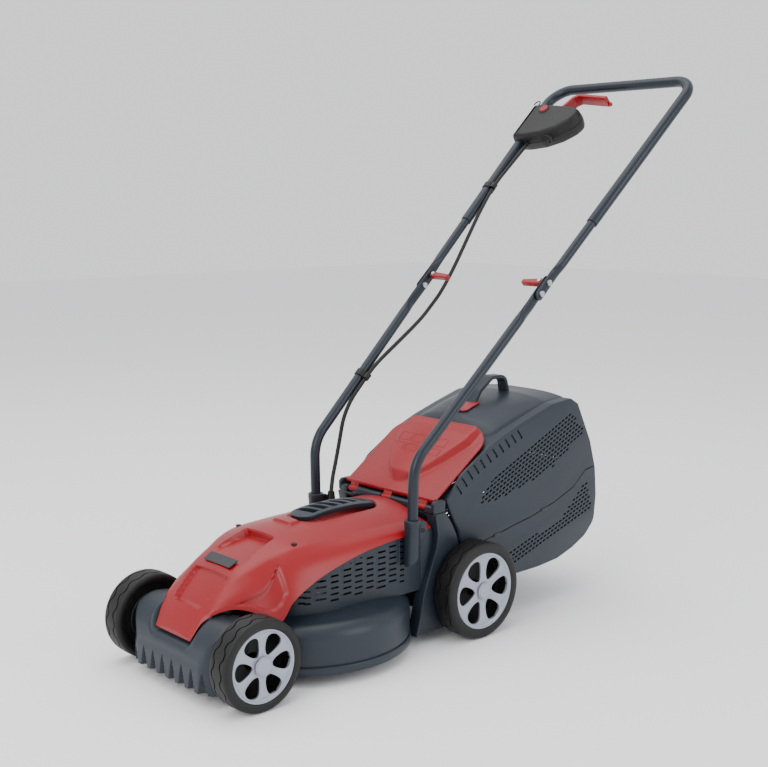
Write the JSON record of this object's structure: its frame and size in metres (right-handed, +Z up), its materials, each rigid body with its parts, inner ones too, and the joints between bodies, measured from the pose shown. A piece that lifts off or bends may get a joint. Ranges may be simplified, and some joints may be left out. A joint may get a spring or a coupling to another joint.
{
  "type": "rotary lawn mower",
  "caption": "Corded electric rotary lawn mower: grey deck with a red motor cover, silver-spoked wheels, rear grass box and folding tube handle with a switch box.",
  "frame": {"origin": "on the ground under the middle of the whole machine", "axes": "+Z up, the mower faces -Y (handle at +Y), +X to the operator's left"},
  "size_m": [0.369, 1.132, 0.9955],
  "materials": {
    "deck_plastic": "satin moulded",
    "red_plastic": "satin moulded",
    "black_plastic": "fine spark texture",
    "box_plastic": "fine spark texture",
    "tyre": "hard tread plastic",
    "silver": "silver lacquer",
    "tube": "powder coat",
    "steel": "machined",
    "zinc": "zinc plated",
    "spring_steel": "oiled",
    "ferrite": "sintered",
    "copper": "turned",
    "cable": "matt sheath",
    "grommet": "moulded"
  },
  "bodies": {
    "deck": {"blade_housing": "deck_plastic", "deck_shell": "deck_plastic", "motor_shroud": "deck_plastic", "top_cover": "red_plastic", "body_screws": "zinc", "carry_handle": "deck_plastic", "badge_plate": "black_plastic", "motor_can": "zinc", "field_magnets": "ferrite", "motor_bearings": "steel", "brush_holders": "black_plastic", "cable_gland": "grommet", "handle_sockets": "deck_plastic", "right_lower_tube": "tube", "left_lower_tube": "tube", "hinge_bar": "deck_plastic", "hinge_pin": "zinc", "flap_spring": "spring_steel", "lower_cable_clip": "black_plastic", "cable_lower": "cable"},
    "rotor": {"motor_shaft": "steel", "rotor_core": "steel", "commutator": "copper", "cooling_fan": "black_plastic", "blade_carrier": "black_plastic", "cutting_blade": "steel", "blade_bolt": "zinc"},
    "front_axle": {"front_axle_rod": "zinc"},
    "rear_axle": {"rear_axle_rod": "zinc"},
    "wheel_front_right": {"tyre_front_right": "tyre", "trim_front_right": "silver", "cap_front_right": "silver"},
    "wheel_front_left": {"tyre_front_left": "tyre", "trim_front_left": "silver", "cap_front_left": "silver"},
    "wheel_rear_right": {"tyre_rear_right": "tyre", "trim_rear_right": "silver", "cap_rear_right": "silver"},
    "wheel_rear_left": {"tyre_rear_left": "tyre", "trim_rear_left": "silver", "cap_rear_left": "silver"},
    "upper_handle": {"u_bar": "tube", "mid_tubes": "tube", "pivot_bolts": "zinc", "switch_box_top": "black_plastic", "switch_box_base": "black_plastic", "micro_switch": "black_plastic", "mains_inlet": "black_plastic", "upper_cable_clip": "black_plastic", "cable_upper": "cable"},
    "bail": {"bail_lever": "red_plastic"},
    "button": {"safety_button": "red_plastic"},
    "clamp_right": {"right_clamp_lever": "red_plastic"},
    "clamp_left": {"left_clamp_lever": "red_plastic"},
    "flap": {"discharge_flap": "red_plastic"},
    "grass_box": {"grass_box_upper": "box_plastic", "grass_box_lower": "box_plastic", "box_handle": "deck_plastic", "box_clips": "box_plastic"},
    "indicator": {"fill_indicator": "red_plastic"}
  },
  "joints": [
    {"name": "blade_spin", "type": "hinge", "parent": "deck", "child": "rotor", "pos_m": [0, -0.28, 0.1], "axis": [0, 0, 1], "continuous": true},
    {"name": "front_height", "type": "slide", "parent": "deck", "child": "front_axle", "axis": [0, 0, 1], "range_m": [-0.04, 0]},
    {"name": "rear_height", "type": "slide", "parent": "deck", "child": "rear_axle", "axis": [0, 0, 1], "range_m": [-0.04, 0]},
    {"name": "wheel_front_right_spin", "type": "hinge", "parent": "front_axle", "child": "wheel_front_right", "pos_m": [-0.152, -0.4941, 0.0721], "axis": [1, 0, 0], "continuous": true},
    {"name": "wheel_front_left_spin", "type": "hinge", "parent": "front_axle", "child": "wheel_front_left", "pos_m": [0.152, -0.4941, 0.0721], "axis": [1, 0, 0], "continuous": true},
    {"name": "wheel_rear_right_spin", "type": "hinge", "parent": "rear_axle", "child": "wheel_rear_right", "pos_m": [-0.152, -0.019, 0.085], "axis": [1, 0, 0], "continuous": true},
    {"name": "wheel_rear_left_spin", "type": "hinge", "parent": "rear_axle", "child": "wheel_rear_left", "pos_m": [0.152, -0.019, 0.085], "axis": [1, 0, 0], "continuous": true},
    {"name": "handle_fold", "type": "hinge", "parent": "deck", "child": "upper_handle", "pos_m": [0, 0.1356, 0.5923], "axis": [1, 0, 0], "range_deg": [0, 135]},
    {"name": "bail_pull", "type": "hinge", "parent": "upper_handle", "child": "bail", "pos_m": [-0.112, 0.48812, 0.92218], "axis": [0, -0.6833, 0.7302], "range_deg": [0, 9], "stiffness_Nm_per_rad": 0.5},
    {"name": "button_press", "type": "slide", "parent": "upper_handle", "child": "button", "axis": [0, 0.6833, -0.7302], "range_m": [0, 0.006], "stiffness_N_per_m": 250},
    {"name": "clamp_right_open", "type": "hinge", "parent": "upper_handle", "child": "clamp_right", "pos_m": [-0.1355, 0.15531, 0.61075], "axis": [0, -0.6833, 0.7302], "range_deg": [0, 80]},
    {"name": "clamp_left_open", "type": "hinge", "parent": "upper_handle", "child": "clamp_left", "pos_m": [0.1355, 0.15531, 0.61075], "axis": [0, 0.6833, -0.7302], "range_deg": [0, 80]},
    {"name": "flap_hinge", "type": "hinge", "parent": "deck", "child": "flap", "pos_m": [0, -0.092, 0.233], "axis": [1, 0, 0], "range_deg": [0, 60]},
    {"name": "box_lift_off", "type": "slide", "parent": "deck", "child": "grass_box", "axis": [0, 0.8161, 0.5779], "range_m": [0, 0.25]},
    {"name": "indicator_lift", "type": "hinge", "parent": "grass_box", "child": "indicator", "pos_m": [0, 0.089, 0.348], "axis": [1, 0, 0], "range_deg": [0, 30]}
  ]
}
